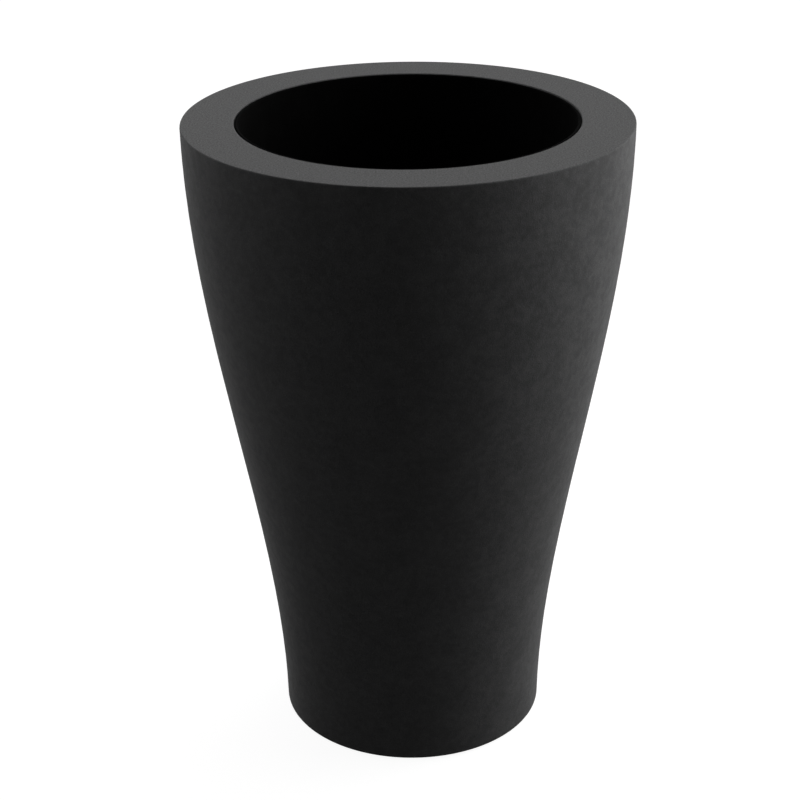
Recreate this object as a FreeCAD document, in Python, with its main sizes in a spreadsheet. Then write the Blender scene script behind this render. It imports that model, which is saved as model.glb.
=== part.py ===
import FreeCAD, Part
from enum import IntEnum
import math
import os
import Sketcher

# A round floor planter: a moulded shell with a wide flat rim and a lift-out liner inside it.
# The axis of the planter is Z, the floor it stands on is Z = 0, and the front faces -Y.

# Driving sizes in millimetres
SIZES = {
    # Shell, outside
    "overall_height": 800,
    "rim_diameter": 540,
    "rim_width": 63.5,
    "base_diameter": 338,
    "base_flare": 2,
    "rim_edge_radius": 1.5,
    "base_edge_radius": 2.5,
    # Shell, inside and underside
    "shell_wall": 6,
    "shell_corner_radius": 5,
    "collar_depth": 140,
    "collar_draft": 2,
    "ledge_width": 13,
    "ledge_edge_radius": 2,
    "foot_ring_width": 49,
    "recess_depth": 6,
    "shell_drain_diameter": 32,
    # Hand slots of the liner, and how much wider the windows in the collar behind them are
    "hand_slot_length": 96,
    "hand_slot_height": 28,
    "hand_slot_drop": 52,
    "window_margin": 10,
    # Liner
    "liner_wall": 4,
    "liner_top_drop": 0.5,
    "liner_play": 0.75,
    "liner_gap": 2,
    "pot_depth": 350,
    "pot_taper": 36,
    "sump_depth": 45,
    "sump_draft": 2,
    "liner_edge_radius": 1.9,
    "liner_corner_radius": 3,
    "liner_drain_diameter": 26,
    "overflow_diameter": 8,
    "overflow_drop": 14,
    # Drain grid
    "grid_seat_width": 6,
    "grid_thickness": 4,
    "grid_play": 1,
    "grid_hub_diameter": 60,
    "grid_land": 18,
    "grid_margin": 13,
    "grid_slot_width": 5,
    "leg_diameter": 12,
    "knob_diameter": 36,
    "knob_head": 8,
    "knob_neck_diameter": 20,
    "knob_neck_height": 10,
    "knob_edge_radius": 3,
    # Rubber bungs
    "bung_overlap": 6,
    "bung_head": 5,
    "bung_play": 0.3,
    "bung_taper": 1.5,
    "bung_tail": 2.5,
    "bung_neck_diameter": 10,
    "bung_neck_height": 6,
    "bung_grip_diameter": 18,
    "bung_grip_height": 6,
    "bung_edge_radius": 1.5,
    # Push-in foot pads
    "foot_stand": 3,
    "foot_diameter": 34,
    "foot_edge_radius": 1,
    "stem_diameter": 10,
    "stem_play": 0.1,
    "barb_diameter": 14,
    "barb_height": 5,
}
FOOT_COUNT = 4
FIRST_FOOT_ANGLE = 45
INNER_SLOT_COUNT = 16
OUTER_SLOT_COUNT = 32
LEG_COUNT = 6

# Radii and heights that several pieces share, worked out from the driving sizes
AXIS = "0"
TOP = "Sizes.overall_height"
RIM_RADIUS = "Sizes.rim_diameter / 2"
COLLAR_RADIUS = f"{RIM_RADIUS} - Sizes.rim_width"
COLLAR_FOOT_RADIUS = f"{COLLAR_RADIUS} - Sizes.collar_draft"
LEDGE_RADIUS = f"{COLLAR_FOOT_RADIUS} - Sizes.ledge_width"
LEDGE_TOP = f"{TOP} - Sizes.collar_depth"
HAND_SLOT_HEIGHT = f"{TOP} - Sizes.hand_slot_drop"
BASE_RADIUS = "Sizes.base_diameter / 2"
SHELL_BOTTOM = "Sizes.foot_stand"
FOOT_RING_RADIUS = f"{BASE_RADIUS} - Sizes.foot_ring_width"
RECESS_RADIUS = f"{FOOT_RING_RADIUS} - Sizes.recess_depth"
RECESS_TOP = f"{SHELL_BOTTOM} + Sizes.recess_depth"
SHELL_FLOOR = f"{RECESS_TOP} + Sizes.shell_wall"
FOOT_CIRCLE_RADIUS = f"{BASE_RADIUS} - (Sizes.foot_ring_width + Sizes.base_edge_radius) / 2"
POT_RADIUS = f"{LEDGE_RADIUS} - Sizes.liner_gap"
POT_BOTTOM = f"{LEDGE_TOP} - Sizes.pot_depth"
POT_FLOOR = f"{POT_BOTTOM} + Sizes.liner_wall"
SEAT_TOP = f"{POT_FLOOR} + Sizes.sump_depth"
SEAT_RADIUS = f"{POT_RADIUS} - Sizes.pot_taper - Sizes.liner_wall"
GRID_RADIUS = f"{SEAT_RADIUS} - Sizes.grid_play"


class Spot(IntEnum):
    """The numbers that a sketch uses for the two ends and the middle of a line or arc."""
    START, END, CENTRE = 1, 2, 3


class SketchAxis(IntEnum):
    """The numbers that a sketch uses for its own two axes."""
    ACROSS, UPRIGHT = -1, -2


ORIGIN = (SketchAxis.ACROSS, Spot.START)
NEAR = 0.001

doc = FreeCAD.newDocument("planter")
sheet = doc.addObject("Spreadsheet::Sheet", "Sizes")
for row, (alias, size) in enumerate(SIZES.items(), 1):
    sheet.set(f"A{row}", alias)
    sheet.set(f"B{row}", str(size))
    sheet.setAlias(f"B{row}", alias)
doc.recompute()


def value(expression):
    """Works out an expression of the sheet's sizes, in millimetres."""
    return float(sheet.evalExpression(expression))


def new_body(label):
    """Starts a sub-part under its own label."""
    body = doc.addObject("PartDesign::Body", label)
    body.Label = label
    return body


def datum(body, role):
    """Finds one of the body's own origin planes or axes."""
    return next(feature for feature in body.Origin.OriginFeatures if feature.Role == role)


def new_sketch(body, name, plane, lift=None):
    """Starts a sketch on an origin plane of the body, or lifted off it by an expression."""
    sketch = body.newObject("Sketcher::SketchObject", name)
    sketch.AttachmentSupport = [(datum(body, plane), "")]
    sketch.MapMode = "FlatFace"
    if lift:
        sketch.setExpression("AttachmentOffset.Base.z", lift)
    return sketch


def bind(sketch, constraint, expression):
    """Adds a dimension to the sketch and ties it to the sheet."""
    number = sketch.addConstraint(constraint)
    sketch.renameConstraint(number, f"size_{number}")
    sketch.setExpression(f"Constraints.size_{number}", expression)


def pin(sketch, geometry, end, place):
    """Holds one point of the sketch at a place that is given as two expressions."""
    axes = (SketchAxis.UPRIGHT, SketchAxis.ACROSS)
    for kind, axis, expression in zip(("DistanceX", "DistanceY"), axes, place):
        if expression == AXIS:
            sketch.addConstraint(Sketcher.Constraint("PointOnObject", geometry, end, axis))
        else:
            distance = Sketcher.Constraint(kind, *ORIGIN, geometry, end, value(expression))
            bind(sketch, distance, expression)


def section(body, name, outline):
    """Draws a closed half section, radius across and height up.

    The outline lists corners as (radius, height), with straight runs between them. A list of
    such places between two corners holds the control points of a smooth curve that joins them.
    """
    sketch = new_sketch(body, name, "XZ_Plane")
    closed = outline + outline[:1]
    corners = [spot for spot, entry in enumerate(closed) if isinstance(entry, tuple)]
    edges = []
    for first, last in zip(corners, corners[1:]):
        controls = closed[first + 1] if last - first > 1 else []
        run = [closed[first], *controls, closed[last]]
        places = [FreeCAD.Vector(value(radius), value(height), 0) for radius, height in run]
        if controls:
            curve = Part.BSplineCurve(places, None, None, False, len(run) - 1, None, False)
            edge = sketch.addGeometry(curve, False)
            handles = sketch.GeometryCount
            sketch.exposeInternalGeometry(edge)
            for spot, place in enumerate(run[:-1]):
                pin(sketch, handles + spot, Spot.CENTRE, place)
        else:
            edge = sketch.addGeometry(Part.LineSegment(*places), False)
            pin(sketch, edge, Spot.START, run[0])
        edges.append(edge)
    for edge, following in zip(edges, edges[1:] + edges[:1]):
        sketch.addConstraint(Sketcher.Constraint("Coincident", edge, Spot.END, following, Spot.START))
    return sketch


def circle(sketch, place, diameter):
    """Draws a circle about a place that is given as two expressions."""
    spot = FreeCAD.Vector(value(place[0]), value(place[1]), 0)
    ring = sketch.addGeometry(Part.Circle(spot, FreeCAD.Vector(0, 0, 1), value(diameter) / 2), False)
    pin(sketch, ring, Spot.CENTRE, place)
    bind(sketch, Sketcher.Constraint("Diameter", ring, value(diameter)), diameter)


def obround(sketch, left, right, height, width):
    """Draws a slot with round ends along the sketch's X axis, from left to right at a height."""
    half = value(width) / 2
    level = value(height)
    middles = (value(left) + half, value(right) - half)
    arcs = []
    for middle, turn in zip(middles, (math.pi / 2, -math.pi / 2)):
        ring = Part.Circle(FreeCAD.Vector(middle, level, 0), FreeCAD.Vector(0, 0, 1), half)
        arcs.append(sketch.addGeometry(Part.ArcOfCircle(ring, turn, turn + math.pi), False))
    lines = []
    for side in (level - half, level + half):
        ends = [FreeCAD.Vector(middle, side, 0) for middle in middles]
        lines.append(sketch.addGeometry(Part.LineSegment(*ends), False))
    left_arc, right_arc = arcs
    under, over = lines
    joins = ((under, Spot.START, left_arc, Spot.END), (under, Spot.END, right_arc, Spot.START),
             (over, Spot.START, left_arc, Spot.START), (over, Spot.END, right_arc, Spot.END))
    for line, point, arc, tip in joins:
        sketch.addConstraint(Sketcher.Constraint("Tangent", line, point, arc, tip))
    pin(sketch, left_arc, Spot.CENTRE, (f"{left} + {width} / 2", height))
    pin(sketch, right_arc, Spot.CENTRE, (f"{right} - {width} / 2", height))
    sketch.addConstraint(Sketcher.Constraint("Equal", left_arc, right_arc))
    bind(sketch, Sketcher.Constraint("Diameter", left_arc, 2 * half), width)


def revolve(body, name, sketch):
    """Turns a half section about the upright axis."""
    feature = body.newObject("PartDesign::Revolution", name)
    feature.Profile = (sketch, [""])
    feature.ReferenceAxis = (sketch, ["V_Axis"])
    feature.Angle = 360
    doc.recompute()
    return feature


def round_edges(body, name, base, places, radius):
    """Rounds the ring edges of a turned body that pass through the given places."""
    names = []
    for number, edge in enumerate(base.Shape.Edges, 1):
        if not isinstance(edge.Curve, Part.Circle) or abs(edge.Curve.Axis.z) < 1 - NEAR:
            continue
        spot = edge.Vertexes[0].Point
        reach = math.hypot(spot.x, spot.y)
        if any(abs(reach - value(across)) < NEAR and abs(spot.z - value(height)) < NEAR
               for across, height in places):
            names.append(f"Edge{number}")
    feature = body.newObject("PartDesign::Fillet", name)
    feature.Base = (base, names)
    feature.setExpression("Radius", radius)
    doc.recompute()
    return feature


def extrude(body, kind, name, sketch, length, upward=None):
    """Pads or pockets a sketch: to one side, or with no side named, evenly to both."""
    feature = body.newObject(f"PartDesign::{kind}", name)
    feature.Profile = (sketch, [""])
    feature.setExpression("Length", length)
    if upward is None:
        feature.SideType = "Symmetric"
    else:
        feature.Reversed = upward == (kind == "Pocket")
    doc.recompute()
    return feature


def repeat(body, name, feature, count, sweep=360):
    """Repeats a feature about the upright axis."""
    pattern = body.newObject("PartDesign::PolarPattern", name)
    pattern.Originals = [feature]
    pattern.Axis = (datum(body, "Z_Axis"), [""])
    pattern.Angle = sweep
    pattern.Occurrences = count
    body.Tip = pattern
    doc.recompute()
    return pattern


def wall_curve(inset, bottom, top):
    """Gives the two control points of the wall's S curve, a third of the way from each end."""
    third = f"(({top}) - ({bottom})) / 3"
    low = (f"{BASE_RADIUS} + Sizes.base_flare - {inset}", f"{bottom} + {third}")
    high = (f"{RIM_RADIUS} - {inset}", f"{top} - {third}")
    return [low, high]


def hand_slots(body, name, margin, reach):
    """Cuts the pair of obround hand openings, left and right, through walls nearer than reach."""
    half = f"(Sizes.hand_slot_length / 2 + {margin})"
    sketch = new_sketch(body, f"{name}_outline", "YZ_Plane")
    obround(sketch, f"-{half}", half, HAND_SLOT_HEIGHT, f"(Sizes.hand_slot_height + 2 * {margin})")
    return extrude(body, "Pocket", name, sketch, f"2 * ({reach})")


def outer_shell():
    """The one-piece moulded shell: wall, flat rim, deep collar, ledge for the liner, and floor."""
    wall = "Sizes.shell_wall"
    drain = "Sizes.shell_drain_diameter / 2"
    inner_bottom = f"{SHELL_BOTTOM} + {wall}"
    rim_underside = f"{TOP} - {wall}"
    ledge_underside = f"{LEDGE_TOP} - {wall}"
    body = new_body("outer_shell")
    skin = section(body, "shell_section", [
        (drain, RECESS_TOP),
        (RECESS_RADIUS, RECESS_TOP),
        (FOOT_RING_RADIUS, SHELL_BOTTOM),
        (BASE_RADIUS, SHELL_BOTTOM),
        wall_curve(AXIS, SHELL_BOTTOM, TOP),
        (RIM_RADIUS, TOP),
        (COLLAR_RADIUS, TOP),
        (COLLAR_FOOT_RADIUS, LEDGE_TOP),
        (LEDGE_RADIUS, LEDGE_TOP),
        (LEDGE_RADIUS, ledge_underside),
        (f"{COLLAR_FOOT_RADIUS} + {wall}", ledge_underside),
        (f"{COLLAR_RADIUS} + {wall}", rim_underside),
        (f"{RIM_RADIUS} - {wall}", rim_underside),
        wall_curve(wall, inner_bottom, rim_underside)[::-1],
        (f"{BASE_RADIUS} - {wall}", inner_bottom),
        (f"{FOOT_RING_RADIUS} + {wall} / 2", inner_bottom),
        (f"{RECESS_RADIUS} + {wall} / 2", SHELL_FLOOR),
        (drain, SHELL_FLOOR),
    ])
    turned = revolve(body, "shell_turned", skin)
    rim_edges = [(RIM_RADIUS, TOP), (COLLAR_RADIUS, TOP)]
    rounded = round_edges(body, "rim_edges", turned, rim_edges, "Sizes.rim_edge_radius")
    rounded = round_edges(
        body, "base_edge", rounded, [(BASE_RADIUS, SHELL_BOTTOM)], "Sizes.base_edge_radius")
    rounded = round_edges(
        body, "ledge_edge", rounded, [(LEDGE_RADIUS, LEDGE_TOP)], "Sizes.ledge_edge_radius")
    corners = [(f"{RIM_RADIUS} - {wall}", rim_underside),
               (f"{COLLAR_RADIUS} + {wall}", rim_underside),
               (f"{COLLAR_FOOT_RADIUS} + {wall}", ledge_underside),
               (f"{BASE_RADIUS} - {wall}", inner_bottom)]
    round_edges(body, "shell_corners", rounded, corners, "Sizes.shell_corner_radius")
    hand_slots(body, "collar_windows", "Sizes.window_margin", f"{COLLAR_RADIUS} + Sizes.rim_width / 2")
    hole = new_sketch(body, "stem_hole_outline", "XY_Plane")
    circle(hole, foot_place(FIRST_FOOT_ANGLE), "Sizes.stem_diameter")
    cut = extrude(body, "Pocket", "stem_hole", hole, f"{inner_bottom} + {wall}", upward=True)
    repeat(body, "stem_holes", cut, FOOT_COUNT)
    return body


def foot_place(angle):
    """Gives the place on the foot ring of the pad at an angle from +X."""
    return tuple(f"({FOOT_CIRCLE_RADIUS}) * {turn}({angle} deg)" for turn in ("cos", "sin"))


def foot_pad(number):
    """A rubber pad whose barbed stem is pushed up through the shell's floor."""
    foot = "Sizes.foot_diameter / 2"
    stem = "Sizes.stem_diameter / 2 - Sizes.stem_play"
    barb = "Sizes.barb_diameter / 2"
    stem_top = "Sizes.foot_stand + Sizes.shell_wall"
    tip = f"{stem_top} + Sizes.barb_height"
    body = new_body(f"foot_pad_{number}")
    outline = section(body, f"foot_section_{number}", [
        (AXIS, AXIS),
        (foot, AXIS),
        (foot, "Sizes.foot_stand"),
        (stem, "Sizes.foot_stand"),
        (stem, stem_top),
        (barb, stem_top),
        (stem, tip),
        (AXIS, tip),
    ])
    turned = revolve(body, f"foot_turned_{number}", outline)
    round_edges(body, f"foot_edge_{number}", turned, [(foot, AXIS)], "Sizes.foot_edge_radius")
    angle = FIRST_FOOT_ANGLE + (number - 1) * 360 / FOOT_COUNT
    for axis, expression in zip("xy", foot_place(angle)):
        body.setExpression(f"Placement.Base.{axis}", expression)
    return body


def planting_liner():
    """The lift-out pot: it lines the collar, and its shoulder stands on the shell's ledge."""
    wall = "Sizes.liner_wall"
    rim = f"{COLLAR_RADIUS} - Sizes.liner_play"
    rim_foot = f"{COLLAR_FOOT_RADIUS} - Sizes.liner_play"
    rim_top = f"{TOP} - Sizes.liner_top_drop"
    drain = "Sizes.liner_drain_diameter / 2"
    pot_foot = f"{POT_RADIUS} - Sizes.pot_taper"
    sump = f"{pot_foot} - Sizes.grid_seat_width"
    sump_foot = f"{sump} - Sizes.sump_draft"
    shoulder_top = f"{LEDGE_TOP} + {wall}"
    body = new_body("planting_liner")
    skin = section(body, "liner_section", [
        (drain, POT_BOTTOM),
        (sump_foot, POT_BOTTOM),
        (sump, f"{SEAT_TOP} - {wall}"),
        (pot_foot, f"{SEAT_TOP} - {wall}"),
        (POT_RADIUS, LEDGE_TOP),
        (rim_foot, LEDGE_TOP),
        (rim, rim_top),
        (f"{rim} - {wall}", rim_top),
        (f"{rim_foot} - {wall}", shoulder_top),
        (f"{POT_RADIUS} - {wall}", shoulder_top),
        (SEAT_RADIUS, SEAT_TOP),
        (f"{SEAT_RADIUS} - Sizes.grid_seat_width", SEAT_TOP),
        (f"{sump_foot} - {wall}", POT_FLOOR),
        (drain, POT_FLOOR),
    ])
    turned = revolve(body, "liner_turned", skin)
    rim_edges = [(rim, rim_top), (f"{rim} - {wall}", rim_top)]
    rounded = round_edges(body, "liner_rim_edges", turned, rim_edges, "Sizes.liner_edge_radius")
    corners = [(sump_foot, POT_BOTTOM), (pot_foot, f"{SEAT_TOP} - {wall}"), (rim_foot, LEDGE_TOP),
               (f"{POT_RADIUS} - {wall}", shoulder_top), (f"{rim_foot} - {wall}", shoulder_top),
               (f"{sump_foot} - {wall}", POT_FLOOR)]
    round_edges(body, "liner_corners", rounded, corners, "Sizes.liner_corner_radius")
    hand_slots(body, "liner_hand_slots", AXIS, COLLAR_RADIUS)
    hole = new_sketch(body, "overflow_outline", "XZ_Plane")
    circle(hole, (AXIS, f"{SEAT_TOP} - Sizes.overflow_drop"), "Sizes.overflow_diameter")
    cut = extrude(body, "Pocket", "overflow_pair", hole, f"2 * ({POT_RADIUS})")
    repeat(body, "overflow_holes", cut, 2, sweep=90)
    return body


def drain_grid():
    """The slotted plate on legs that carries the soil above the drained space."""
    plate_top = f"{SEAT_TOP} + Sizes.grid_thickness"
    hub = "Sizes.grid_hub_diameter / 2"
    neck = "Sizes.knob_neck_diameter / 2"
    knob = "Sizes.knob_diameter / 2"
    neck_top = f"{plate_top} + Sizes.knob_neck_height"
    knob_top = f"{neck_top} + Sizes.knob_head"
    slots_end = f"{GRID_RADIUS} - Sizes.grid_margin"
    land = f"({hub} + {slots_end}) / 2"
    body = new_body("drain_grid")
    outline = section(body, "grid_section", [
        (AXIS, SEAT_TOP),
        (GRID_RADIUS, SEAT_TOP),
        (GRID_RADIUS, plate_top),
        (neck, plate_top),
        (neck, neck_top),
        (knob, neck_top),
        (knob, knob_top),
        (AXIS, knob_top),
    ])
    turned = revolve(body, "grid_turned", outline)
    knob_edges = [(knob, neck_top), (knob, knob_top)]
    round_edges(body, "knob_edges", turned, knob_edges, "Sizes.knob_edge_radius")
    rings = (("inner", hub, f"{land} - Sizes.grid_land / 2", INNER_SLOT_COUNT),
             ("outer", f"{land} + Sizes.grid_land / 2", slots_end, OUTER_SLOT_COUNT))
    for ring, start, stop, count in rings:
        slot = new_sketch(body, f"{ring}_slot_outline", "XY_Plane", SEAT_TOP)
        obround(slot, start, stop, AXIS, "Sizes.grid_slot_width")
        cut = extrude(body, "Pocket", f"{ring}_slot", slot, "Sizes.grid_thickness", upward=True)
        repeat(body, f"{ring}_slots", cut, count)
    foot = new_sketch(body, "leg_outline", "XY_Plane", SEAT_TOP)
    circle(foot, (land, AXIS), "Sizes.leg_diameter")
    leg = extrude(body, "Pad", "leg", foot, "Sizes.sump_depth", upward=False)
    repeat(body, "legs", leg, LEG_COUNT)
    return body


def bung(label, drain_diameter, floor, wall):
    """A rubber stopper that sits on a floor and plugs the drain hole in it from above."""
    hole = f"{drain_diameter} / 2"
    plug = f"{hole} - Sizes.bung_play"
    head = f"{hole} + Sizes.bung_overlap"
    neck = "Sizes.bung_neck_diameter / 2"
    grip = "Sizes.bung_grip_diameter / 2"
    tail = f"{floor} - {wall} - Sizes.bung_tail"
    head_top = f"{floor} + Sizes.bung_head"
    neck_top = f"{head_top} + Sizes.bung_neck_height"
    grip_top = f"{neck_top} + Sizes.bung_grip_height"
    body = new_body(label)
    outline = section(body, f"{label}_section", [
        (AXIS, tail),
        (f"{plug} - Sizes.bung_taper", tail),
        (plug, floor),
        (head, floor),
        (head, head_top),
        (neck, head_top),
        (neck, neck_top),
        (grip, neck_top),
        (grip, grip_top),
        (AXIS, grip_top),
    ])
    turned = revolve(body, f"{label}_turned", outline)
    edges = [(f"{plug} - Sizes.bung_taper", tail), (head, head_top), (grip, neck_top), (grip, grip_top)]
    round_edges(body, f"{label}_edges", turned, edges, "Sizes.bung_edge_radius")
    return body


bodies = [
    outer_shell(),
    planting_liner(),
    drain_grid(),
    bung("liner_bung", "Sizes.liner_drain_diameter", POT_FLOOR, "Sizes.liner_wall"),
    bung("shell_bung", "Sizes.shell_drain_diameter", SHELL_FLOOR, "Sizes.shell_wall"),
]
bodies += [foot_pad(number) for number in range(1, FOOT_COUNT + 1)]
doc.recompute()

failed = [item.Name for item in doc.Objects if {"Invalid", "Error"} & set(item.State)]
failed += [body.Label for body in bodies if body.Shape.isNull() or not body.Shape.isValid()]
if failed:
    raise SystemExit(f"these did not build: {failed}")

os.makedirs("parts", exist_ok=True)
for body in bodies:
    body.Shape.exportStep(f"parts/{body.Label}.step")
    print(body.Label, len(body.Shape.Solids), "solid,", round(body.Shape.Volume / 1000, 1), "cm3")
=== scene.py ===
"""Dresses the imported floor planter: a finish for every piece, a white studio and the camera."""

import logging
import math
from dataclasses import dataclass
from enum import Enum

import bpy
from bpy.types import Material, Node, NodeSocket, NodeTree, Object
from mathutils import Matrix, Vector

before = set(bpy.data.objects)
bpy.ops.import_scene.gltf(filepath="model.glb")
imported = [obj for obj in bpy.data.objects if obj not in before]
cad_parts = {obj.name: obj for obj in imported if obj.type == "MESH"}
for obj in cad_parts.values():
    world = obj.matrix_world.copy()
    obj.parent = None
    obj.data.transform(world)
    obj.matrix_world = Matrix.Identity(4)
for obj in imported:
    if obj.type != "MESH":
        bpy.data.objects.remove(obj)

Colour = tuple[float, float, float]
Direction = tuple[float, float, float]
Range = tuple[float, float]
Value = NodeSocket | float | Colour | Direction
NOISE_SPAN: Range = (0.3, 0.7)
FULL_SPAN: Range = (0.0, 1.0)
UP: Direction = (0.0, 0.0, 1.0)
TO_AXIS: Direction = (-1.0, -1.0, 0.0)
WHITE = (1.0, 1.0, 1.0, 1.0)
log = logging.getLogger("planter")


class Way(Enum):
    """How two values become one."""

    ADD = "ADD"
    TIMES = "MULTIPLY"
    MOST = "MAXIMUM"


class Detail(Enum):
    """How many finer layers cloudy noise has."""

    PLAIN = 1.0
    USUAL = 2.0
    RICH = 3.0


class Nodes:
    """A node tree, with short calls that add nodes to it and link them."""

    def __init__(self, tree: NodeTree) -> None:
        """Takes over a tree that exists."""
        self.tree = tree

    def add(self, kind: str, **settings: object) -> Node:
        """Adds a node.

        Args:
            kind: The node's type.
            **settings: Values for the node's own properties.

        Returns:
            The new node.
        """
        node = self.tree.nodes.new(kind)
        for key, value in settings.items():
            setattr(node, key, value)
        return node

    def feed(self, value: Value, target: NodeSocket) -> None:
        """Gives an input what it takes.

        Args:
            value: The output to link it to, or a constant.
            target: The input.
        """
        if isinstance(value, NodeSocket):
            self.tree.links.new(value, target)
        else:
            target.default_value = value

    def span(self, source: NodeSocket, old: Range, new: Range) -> NodeSocket:
        """Maps a range of values softly to another one and stops at its ends.

        Args:
            source: The value to map.
            old: The two ends of the range that comes in.
            new: What they become.

        Returns:
            The mapped value.
        """
        node = self.add("ShaderNodeMapRange", interpolation_type="SMOOTHSTEP")
        names = ("Value", "From Min", "From Max", "To Min", "To Max")
        for name, value in zip(names, (source, *old, *new)):
            self.feed(value, node.inputs[name])
        return node.outputs["Result"]

    def both(self, way: Way, *values: Value) -> NodeSocket:
        """Puts values together, one after the other.

        Args:
            way: How each two of them become one.
            *values: The values, two or more.

        Returns:
            What they come to.
        """
        result = values[0]
        for value in values[1:]:
            node = self.add("ShaderNodeMath", operation=way.value)
            self.feed(result, node.inputs[0])
            self.feed(value, node.inputs[1])
            result = node.outputs[0]
        return result

    def between(self, share: NodeSocket, first: Value, second: Value) -> NodeSocket:
        """Goes from one value to another.

        Args:
            share: How far to go, from 0 to 1.
            first: The value at 0.
            second: The value at 1.

        Returns:
            The value there.
        """
        node = self.add("ShaderNodeMix")
        for name, value in (("Factor", share), ("A", first), ("B", second)):
            self.feed(value, node.inputs[name])
        return node.outputs["Result"]

    def looked_at(self) -> NodeSocket:
        """Tells rays that look at a thing from those that only carry its light.

        Returns:
            1 for the first kind and 0 for the second.
        """
        rays = self.add("ShaderNodeLightPath").outputs
        kinds = ("Camera", "Glossy", "Transmission")
        return self.both(Way.MOST, *(rays[f"Is {kind} Ray"] for kind in kinds))


class Recipe(Nodes):
    """A finish in the making: a main shader and the patterns that feed it, in the piece's own space.

    The spans say which dot products of two directions count as flat and as an edge, as facing aside and up,
    and as facing away from the inside and towards it.
    """

    EDGE_SAMPLES = 6
    EDGE_SPAN: Range = (1.0, 0.93)
    UPWARD_SPAN: Range = (0.7, 0.95)
    INWARD_SPAN: Range = (-1.0, -0.6)

    def __init__(self, name: str, gloss: float) -> None:
        """Starts a material.

        Args:
            name: The material's name.
            gloss: How strongly it mirrors, as the shader's specular level.
        """
        self.material = bpy.data.materials.new(name)
        self.material.use_nodes = True
        super().__init__(self.material.node_tree)
        self.shader = self.tree.nodes["Principled BSDF"]
        self.shader.inputs["Specular IOR Level"].default_value = gloss
        self.place = self.add("ShaderNodeTexCoord").outputs["Object"]

    def vector(self, operation: str, *sources: Value) -> NodeSocket:
        """Works on a direction or a place.

        Args:
            operation: The name of the vector operation.
            *sources: The direction or place, and what it is put together with, if anything.

        Returns:
            The new direction or place, or the number that a dot product gives.
        """
        node = self.add("ShaderNodeVectorMath", operation=operation)
        for source, target in zip(sources, node.inputs):
            self.feed(source, target)
        return node.outputs["Value" if operation == "DOT_PRODUCT" else "Vector"]

    def normal(self) -> NodeSocket:
        """Gives the way that the surface faces."""
        return self.add("ShaderNodeNewGeometry").outputs["Normal"]

    def noise(self, size: float, detail: Detail = Detail.USUAL, drawn: float = 1.0) -> NodeSocket:
        """Adds cloudy noise.

        Args:
            size: About how wide one cloud is, in metres.
            detail: How many finer layers the clouds have.
            drawn: How many times as tall as wide the clouds are.

        Returns:
            The noise, about 0 to 1.
        """
        node = self.add("ShaderNodeTexNoise")
        node.inputs["Scale"].default_value = 1 / size
        node.inputs["Detail"].default_value = detail.value
        place = self.place if drawn == 1.0 else self.vector("MULTIPLY", self.place, (1.0, 1.0, 1 / drawn))
        self.feed(place, node.inputs["Vector"])
        return node.outputs["Fac"]

    def spots(self, apart: float, reach: Range, strength: Range) -> NodeSocket:
        """Scatters round spots.

        Args:
            apart: About how far the spots lie apart, in metres.
            reach: Where a spot has faded and where it is full, as shares of that.
            strength: The value between the spots and on them.

        Returns:
            The spots.
        """
        node = self.add("ShaderNodeTexVoronoi")
        node.inputs["Scale"].default_value = 1 / apart
        self.feed(self.place, node.inputs["Vector"])
        return self.span(node.outputs["Distance"], reach, strength)

    def sway(self, noise: NodeSocket, share: float) -> NodeSocket:
        """Turns noise into a factor that goes up and down from 1 by a share."""
        return self.span(noise, NOISE_SPAN, (1 - share, 1 + share))

    def worn(self, band: float, gain: float) -> NodeSocket:
        """Finds the crisp edges, which rub paler.

        Args:
            band: How far the paler band reaches from an edge, in metres.
            gain: How much paler an edge is.

        Returns:
            A factor that is 1 on flat faces and rises towards edges.
        """
        bevel = self.add("ShaderNodeBevel", samples=self.EDGE_SAMPLES)
        bevel.inputs["Radius"].default_value = band
        flat = self.vector("DOT_PRODUCT", bevel.outputs["Normal"], self.normal())
        return self.span(flat, self.EDGE_SPAN, (1.0, 1 + gain))

    def upward(self) -> NodeSocket:
        """Tells faces that look up, 1, from the others, 0."""
        return self.span(self.vector("DOT_PRODUCT", self.normal(), UP), self.UPWARD_SPAN, FULL_SPAN)

    def painted_inside_shade(self, share: float) -> NodeSocket:
        """Tells faces that look up or to the axis, the inside of a pot, from those that look out or down; it
        paints shade into that inside.

        Args:
            share: The factor on the first kind.

        Returns:
            A factor that is 1 on the second kind.
        """
        to_axis = self.vector("NORMALIZE", self.vector("MULTIPLY", self.place, TO_AXIS))
        up_and_in = self.vector("ADD", to_axis, UP)
        facing = self.vector("DOT_PRODUCT", up_and_in, self.normal())
        return self.span(facing, self.INWARD_SPAN, (1.0, share))

    def paint(self, colour: Colour, *factors: NodeSocket) -> None:
        """Colours the shader.

        Args:
            colour: The colour to start from.
            *factors: What makes it paler or darker from place to place.
        """
        node = self.add("ShaderNodeVectorMath", operation="SCALE")
        self.feed(colour, node.inputs[0])
        self.feed(self.both(Way.TIMES, *factors), node.inputs["Scale"])
        self.feed(node.outputs[0], self.shader.inputs["Base Color"])

    def roughen(self, noise: NodeSocket, roughness: Range) -> None:
        """Makes the shader rougher where the noise is high."""
        self.feed(self.span(noise, NOISE_SPAN, roughness), self.shader.inputs["Roughness"])

    def emboss(self, *layers: tuple[NodeSocket, float]) -> None:
        """Raises the surface.

        Args:
            *layers: The coarsest relief first, each with how high its 1 stands, in metres.
        """
        below = None
        for height, depth in layers:
            node = self.add("ShaderNodeBump")
            node.inputs["Distance"].default_value = depth
            self.feed(height, node.inputs["Height"])
            if below is not None:
                self.feed(below, node.inputs["Normal"])
            below = node.outputs["Normal"]
        self.feed(below, self.shader.inputs["Normal"])


@dataclass(frozen=True)
class Finish:
    """What every finish has. Sizes are in metres, and shares go up and down from 1."""

    name: str
    colour: Colour
    gloss: float
    roughness: Range

    def make(self) -> Material:
        """Builds the material."""
        raise NotImplementedError


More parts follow.
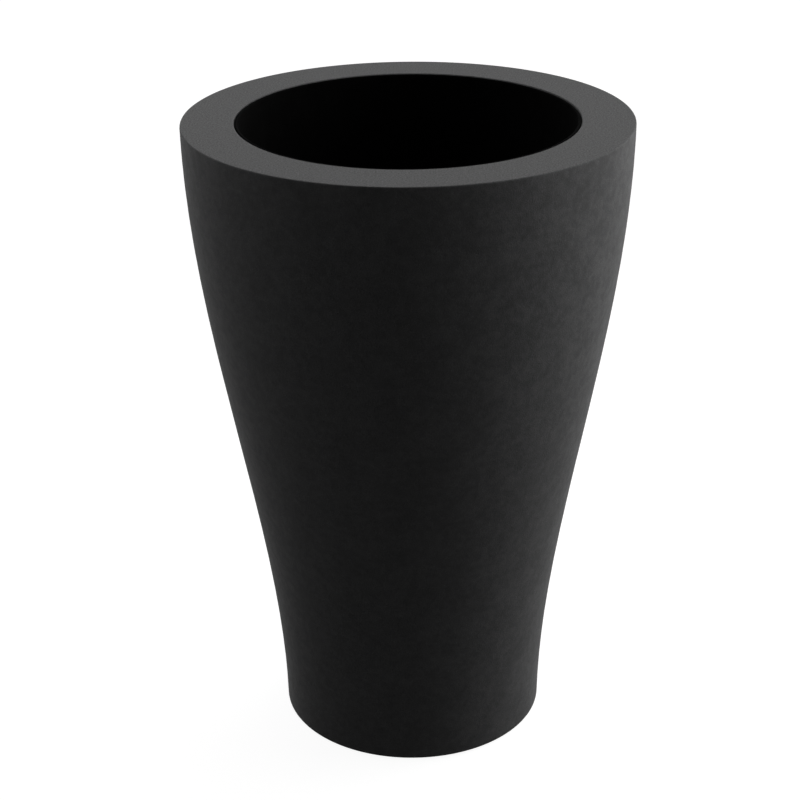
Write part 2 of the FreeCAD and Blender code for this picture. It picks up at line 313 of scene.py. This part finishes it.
@dataclass(frozen=True)
class CastFinish(Finish):
    """The matte charcoal of the shell: mottled, grained and flecked, rubbed down to the grain on its rim.

    Clouds and mottles are flattened: that many times as tall as wide. A reach is where a spot has faded and
    where it is full, as shares of the way between spots.
    """

    name: str = "charcoal_cast_body"
    colour: Colour = (0.097, 0.097, 0.098)
    gloss: float = 0.06
    roughness: Range = (0.62, 0.8)
    flattened: float = 0.87
    cloud: float = 0.04
    cloud_share: float = 0.085
    mottle: float = 0.01
    mottle_share: float = 0.09
    mottle_depth: float = 0.0004
    grain: float = 0.0013
    grain_share: float = 0.14
    grain_depth: float = 0.0002
    rim_grain: float = 0.0019
    rim_share: float = 0.28
    rim_relief: float = 0.25
    fleck: float = 0.0036
    fleck_reach: Range = (0.34, 0.1)
    fleck_gain: float = 0.2
    pinhole: float = 0.012
    pinhole_reach: Range = (0.06, 0.03)
    # painted shade: how much darker the colour is in the pinholes' pits
    pinhole_painted_shade: float = 0.3
    pinhole_depth: float = 0.0002
    worn_band: float = 0.003
    worn_gain: float = 0.15

    def make(self) -> Material:
        """Builds the material.

        Returns:
            The material, ready for the pieces that wear it.
        """
        recipe = Recipe(self.name, self.gloss)
        cloud = recipe.noise(self.cloud, Detail.RICH, self.flattened)
        mottle = recipe.noise(self.mottle, Detail.RICH, self.flattened)
        grain, rim_grain = recipe.noise(self.grain), recipe.noise(self.rim_grain)
        pinholes = recipe.spots(self.pinhole, self.pinhole_reach, (1.0, 0.0))
        rim = recipe.upward()
        wall = recipe.both(
            Way.TIMES,
            recipe.sway(cloud, self.cloud_share),
            recipe.sway(mottle, self.mottle_share),
            recipe.sway(grain, self.grain_share),
        )
        recipe.paint(
            self.colour,
            recipe.between(rim, wall, recipe.sway(rim_grain, self.rim_share)),
            recipe.spots(self.fleck, self.fleck_reach, (1.0, 1 + self.fleck_gain)),
            # painted shade: the pinholes are darker in colour, standing in for shade in the pits
            recipe.span(pinholes, FULL_SPAN, (1 - self.pinhole_painted_shade, 1.0)),
            recipe.worn(self.worn_band, self.worn_gain),
        )
        recipe.roughen(grain, self.roughness)
        lumps = recipe.both(Way.TIMES, mottle, recipe.between(rim, 1.0, self.rim_relief))
        recipe.emboss((lumps, self.mottle_depth), (grain, self.grain_depth), (pinholes, self.pinhole_depth))
        return recipe.material


@dataclass(frozen=True)
class MouldedFinish(Finish):
    """Black moulded plastic with a fine spark grain, hazy, and scuffed the way that it is drawn out, with
    painted shade darkening its inside.
    """

    name: str = "black_moulded_pot"
    colour: Colour = (0.028, 0.028, 0.028)
    gloss: float = 0.005
    roughness: Range = (0.88, 0.98)
    # painted shade: the inside of the pot is darkened to this share of its colour
    inside_shade_share: float = 0.125
    haze: float = 0.02
    haze_share: float = 0.1
    scuff: float = 0.0012
    scuff_length: float = 60.0
    scuff_span: Range = (0.56, 0.7)
    scuff_gain: float = 0.5
    grain: float = 0.0009
    grain_depth: float = 0.00012
    worn_band: float = 0.0015
    worn_gain: float = 0.4

    def make(self) -> Material:
        """Builds the material.

        Returns:
            The material, ready for the pieces that wear it.
        """
        recipe = Recipe(self.name, self.gloss)
        grain = recipe.noise(self.grain, Detail.PLAIN)
        scuffs = recipe.noise(self.scuff, drawn=self.scuff_length)
        recipe.paint(
            self.colour,
            recipe.sway(recipe.noise(self.haze, Detail.RICH), self.haze_share),
            recipe.span(scuffs, self.scuff_span, (1.0, 1 + self.scuff_gain)),
            recipe.worn(self.worn_band, self.worn_gain),
            # painted shade: faces inside the pot, looking up or to the axis, are darkened
            recipe.painted_inside_shade(self.inside_shade_share),
        )
        recipe.roughen(grain, self.roughness)
        recipe.emboss((grain, self.grain_depth))
        return recipe.material


@dataclass(frozen=True)
class RubberFinish(Finish):
    """Soft black rubber with a pale dusty bloom."""

    name: str = "black_rubber"
    colour: Colour = (0.022, 0.022, 0.023)
    gloss: float = 0.3
    roughness: Range = (0.7, 0.85)
    bloom: float = 0.008
    bloom_span: Range = (0.35, 0.75)
    bloom_gain: Range = (0.85, 1.4)
    grain: float = 0.0006
    grain_depth: float = 0.00004

    def make(self) -> Material:
        """Builds the material.

        Returns:
            The material, ready for the pieces that wear it.
        """
        recipe = Recipe(self.name, self.gloss)
        grain = recipe.noise(self.grain, Detail.PLAIN)
        bloom = recipe.noise(self.bloom, Detail.RICH)
        recipe.paint(self.colour, recipe.span(bloom, self.bloom_span, self.bloom_gain))
        recipe.roughen(grain, self.roughness)
        recipe.emboss((grain, self.grain_depth))
        return recipe.material


class Workshop:
    """Makes each finish once and puts it on the pieces."""

    def __init__(self) -> None:
        """Starts with no finish made."""
        self.made: dict[Finish, Material] = {}

    def dress(self, node: str, finish: Finish) -> None:
        """Gives a piece of the frame its finish.

        Args:
            node: The piece's name.
            finish: The finish that it gets.
        """
        if finish not in self.made:
            self.made[finish] = finish.make()
        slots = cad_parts[node].data.materials
        slots.clear()
        slots.append(self.made[finish])
        log.info("%s: %s", node, finish.name)


@dataclass(frozen=True)
class ShellAssembly:
    """The shell that stands on the floor, with its drain's bung and its pads."""

    pads: int = 4
    cast: CastFinish = CastFinish()
    rubber: RubberFinish = RubberFinish()

    def dress(self, workshop: Workshop) -> None:
        """Dresses the shell, then the rubber in it.

        Args:
            workshop: Where the finishes are made.
        """
        workshop.dress("outer_shell", self.cast)
        for node in ("shell_bung", *(f"foot_pad_{number + 1}" for number in range(self.pads))):
            workshop.dress(node, self.rubber)


@dataclass(frozen=True)
class LinerAssembly:
    """The pot that lifts out, with the grid and the bung in it."""

    pot: MouldedFinish = MouldedFinish()
    grid: MouldedFinish = MouldedFinish(
        "black_moulded_grid", gloss=0.06, roughness=(0.5, 0.62), inside_shade_share=1.0
    )
    rubber: RubberFinish = RubberFinish()

    def dress(self, workshop: Workshop) -> None:
        """Dresses the pot and what lies in it.

        Args:
            workshop: Where the finishes are made.
        """
        workshop.dress("planting_liner", self.pot)
        workshop.dress("drain_grid", self.grid)
        workshop.dress("liner_bung", self.rubber)


@dataclass(frozen=True)
class Floor:
    """A wide pale floor: near white where it is looked at, dim where it only throws light back."""

    reach: float = 12.0
    glow: float = 0.93
    pale: float = 0.25
    dim: float = 0.07

    def build(self) -> Object:
        """Makes the floor's mesh.

        Returns:
            The floor, in the scene.
        """
        mesh = bpy.data.meshes.new("floor")
        corners = [(x * self.reach, y * self.reach, 0.0) for x, y in ((-1, -1), (1, -1), (1, 1), (-1, 1))]
        mesh.from_pydata(corners, [], [(0, 1, 2, 3)])
        floor = bpy.data.objects.new("floor", mesh)
        bpy.context.scene.collection.objects.link(floor)
        return floor

    def dress(self, floor: Object) -> None:
        """Gives the floor its surface.

        Args:
            floor: The floor.
        """
        material = bpy.data.materials.new("pale_floor")
        material.use_nodes = True
        material.node_tree.nodes.clear()
        nodes = Nodes(material.node_tree)
        dim, pale = nodes.add("ShaderNodeBsdfDiffuse"), nodes.add("ShaderNodeBsdfDiffuse")
        dim.inputs["Color"].default_value = (self.dim, self.dim, self.dim, 1.0)
        pale.inputs["Color"].default_value = (self.pale, self.pale, self.pale, 1.0)
        glow = nodes.add("ShaderNodeEmission")
        glow.inputs["Strength"].default_value = self.glow
        shown, either = nodes.add("ShaderNodeAddShader"), nodes.add("ShaderNodeMixShader")
        nodes.feed(pale.outputs[0], shown.inputs[0])
        nodes.feed(glow.outputs[0], shown.inputs[1])
        nodes.feed(nodes.looked_at(), either.inputs[0])
        nodes.feed(dim.outputs[0], either.inputs[1])
        nodes.feed(shown.outputs[0], either.inputs[2])
        nodes.feed(either.outputs[0], nodes.add("ShaderNodeOutputMaterial").inputs["Surface"])
        floor.data.materials.append(material)


@dataclass(frozen=True)
class Surroundings:
    """White all round to the eye; their light is even, with a bright low sweep behind, to the right.

    The sweep rises to its full strength over the directions across, left to right, and along, front to back.
    Over the directions of climb, it falls off to its share overhead.
    """

    even: float = 0.06
    sweep: float = 3.3
    across: Range = (-0.7, 0.7)
    along: Range = (-0.15, 0.35)
    climb: Range = (0.2, 0.8)
    overhead: float = 0.3

    def build(self) -> None:
        """Makes the surroundings."""
        world = bpy.data.worlds.new("studio")
        world.use_nodes = True
        bpy.context.scene.world = world
        nodes = Nodes(world.node_tree)
        background = world.node_tree.nodes["Background"]
        background.inputs["Color"].default_value = WHITE
        sides = nodes.add("ShaderNodeSeparateXYZ")
        nodes.feed(nodes.add("ShaderNodeTexCoord").outputs["Generated"], sides.inputs[0])
        across, along, climb = sides.outputs
        sweep = nodes.both(
            Way.TIMES,
            nodes.span(along, self.along, (0.0, self.sweep)),
            nodes.span(across, self.across, FULL_SPAN),
            nodes.span(climb, self.climb, (1.0, self.overhead)),
        )
        light = nodes.both(Way.ADD, sweep, self.even)
        nodes.feed(nodes.between(nodes.looked_at(), light, 1.0), background.inputs["Strength"])


@dataclass(frozen=True)
class Lamp:
    """A soft square lamp beside the planter, facing its axis. The bearing is from the front to the right."""

    name: str
    bearing: float
    distance: float
    height: float
    power: float
    size: float = 0.9

    def hang(self) -> None:
        """Hangs the lamp."""
        light = bpy.data.lights.new(self.name, "AREA")
        light.size = self.size
        light.energy = self.power
        lamp = bpy.data.objects.new(self.name, light)
        bpy.context.scene.collection.objects.link(lamp)
        turn = math.radians(self.bearing)
        out = Vector((math.sin(turn), -math.cos(turn), 0.0))
        lamp.location = out * self.distance + Vector((0.0, 0.0, self.height))
        lamp.rotation_euler = (-out).to_track_quat("-Z", "Y").to_euler()
        lamp.visible_camera = False


@dataclass(frozen=True)
class Viewpoint:
    """The photograph's view: a long lens at standing height, looking down.

    The place is in metres, the turns are in degrees, and the sensor's width is in millimetres.
    """

    sensor: float = 36.0
    picture_width: int = 800
    focal_pixels: float = 1848.2
    distance: float = 2.1377
    height: float = 1.401
    pitch: float = 24.396
    yaw: float = -0.347
    roll: float = -0.628

    def build(self) -> None:
        """Makes the camera."""
        data = bpy.data.cameras.new("camera")
        data.sensor_width = self.sensor
        data.lens = self.focal_pixels * self.sensor / self.picture_width
        camera = bpy.data.objects.new("camera", data)
        bpy.context.scene.collection.objects.link(camera)
        yaw, pitch = math.radians(self.yaw), math.radians(self.pitch)
        ahead = Vector((math.sin(yaw) * math.cos(pitch), math.cos(yaw) * math.cos(pitch), -math.sin(pitch)))
        aim = ahead.to_track_quat("-Z", "Y").to_matrix().to_4x4()
        spin = Matrix.Rotation(math.radians(self.roll), 4, "Z")
        camera.matrix_world = Matrix.Translation((0.0, -self.distance, self.height)) @ aim @ spin
        bpy.context.scene.camera = camera


@dataclass(frozen=True)
class Studio:
    """The floor, the light and the camera."""

    floor: Floor = Floor()
    surroundings: Surroundings = Surroundings()
    lamps: tuple[Lamp, ...] = (
        Lamp("lamp_right", bearing=88.0, distance=1.1, height=1.1, power=6.3),
        Lamp("lamp_left", bearing=-95.0, distance=1.1, height=1.3, power=2.4),
        Lamp("lamp_back", bearing=-130.0, distance=0.9, height=1.7, power=3.7),
    )
    viewpoint: Viewpoint = Viewpoint()

    def build(self) -> None:
        """Sets the studio up."""
        self.floor.dress(self.floor.build())
        self.surroundings.build()
        for lamp in self.lamps:
            lamp.hang()
        self.viewpoint.build()
        bpy.context.scene.view_settings.view_transform = "Standard"
        log.info("studio: floor, surroundings, %d lamps and camera", len(self.lamps))


def main() -> None:
    """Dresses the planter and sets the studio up."""
    logging.basicConfig(level=logging.INFO, format="%(message)s")
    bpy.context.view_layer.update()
    workshop = Workshop()
    ShellAssembly().dress(workshop)
    LinerAssembly().dress(workshop)
    Studio().build()


if __name__ == "__main__":
    main()
